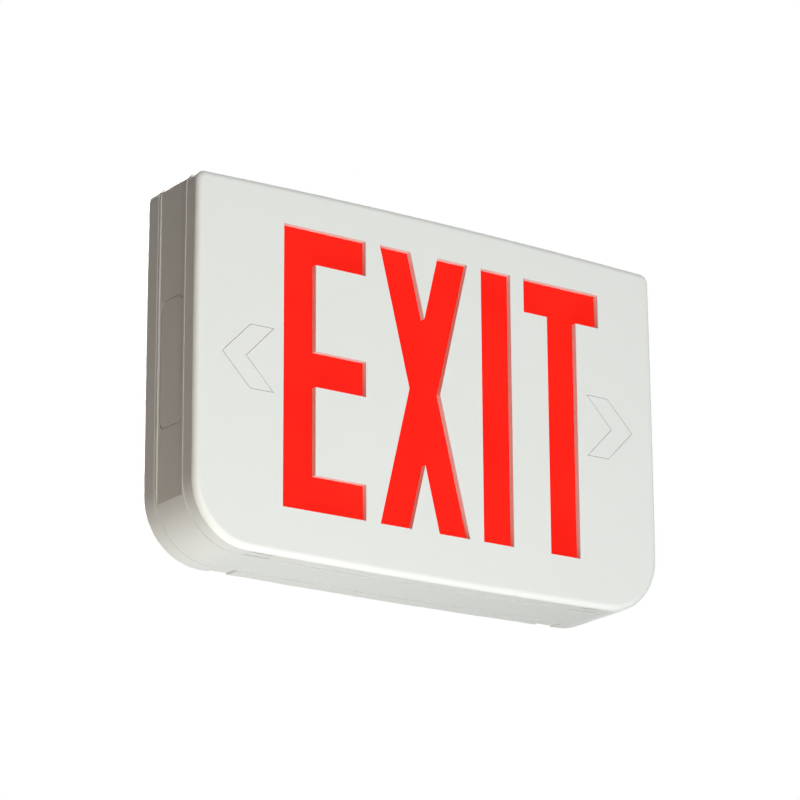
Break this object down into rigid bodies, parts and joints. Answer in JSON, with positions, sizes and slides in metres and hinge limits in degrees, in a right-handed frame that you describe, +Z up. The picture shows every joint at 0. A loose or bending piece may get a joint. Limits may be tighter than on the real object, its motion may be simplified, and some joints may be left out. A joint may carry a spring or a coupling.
{
  "type": "emergency exit light",
  "caption": "Wall-mounted emergency exit light: moulded shell with letter cut-outs, lit red panel, arrow inserts and a side test button.",
  "frame": {"origin": "centre of the back plate's wall face, which is the centre of its wire entry hole, in the wall plane", "axes": "+Z up, +X to the right of a viewer who faces the sign, +Y into the wall, the sign's face towards -Y"},
  "size_m": [0.3001, 0.0495, 0.2016],
  "materials": {
    "white_shell": "satin moulded",
    "red_panel": "translucent",
    "reflector_white": "matt",
    "strip_board": "solder mask",
    "led_body": "clear",
    "screw_steel": "zinc plated",
    "circuit_board": "solder mask",
    "core_steel": "laminated",
    "coil_tape": "tape",
    "capacitor_sleeve": "sleeve",
    "terminal_plastic": "moulded",
    "chip_plastic": "moulded",
    "socket_plastic": "moulded",
    "lead_sheath": "drawn sheath",
    "battery_wrap": "shrink film",
    "strap_plastic": "moulded",
    "switch_plastic": "moulded",
    "nut_brass": "plated",
    "button_red": "glossy",
    "lamp_bezel": "glossy",
    "lamp_lens": "clear tinted"
  },
  "bodies": {
    "sign": {"front_cover": "white_shell", "chevron_left": "white_shell", "chevron_right": "white_shell", "housing_frame": "white_shell", "back_plate": "white_shell", "letter_panel": "red_panel", "reflector": "reflector_white", "light_strip_top": "strip_board", "light_strip_bottom": "strip_board", "leds_top": "led_body", "leds_bottom": "led_body", "reflector_screws": "screw_steel", "board_screws": "screw_steel", "strap_screws": "screw_steel", "control_board": "circuit_board", "transformer_core": "core_steel", "transformer_coil": "coil_tape", "capacitors": "capacitor_sleeve", "terminal_block": "terminal_plastic", "control_chip": "chip_plastic", "lead_sockets": "socket_plastic", "lead_plugs": "socket_plastic", "battery_lead": "lead_sheath", "strip_leads": "lead_sheath", "switch_leads": "lead_sheath", "lamp_leads": "lead_sheath", "battery_pack": "battery_wrap", "battery_strap": "strap_plastic", "switch_body": "switch_plastic", "switch_nut": "nut_brass", "lamp_holder": "lamp_bezel", "status_lamp": "lamp_lens"},
    "button": {"test_button": "button_red"}
  },
  "joints": [
    {"name": "test_button_press", "type": "slide", "parent": "sign", "child": "button", "axis": [-1, 0, 0], "range_m": [0, 0.0015], "stiffness_N_per_m": 600, "springref_m": -0.001}
  ]
}
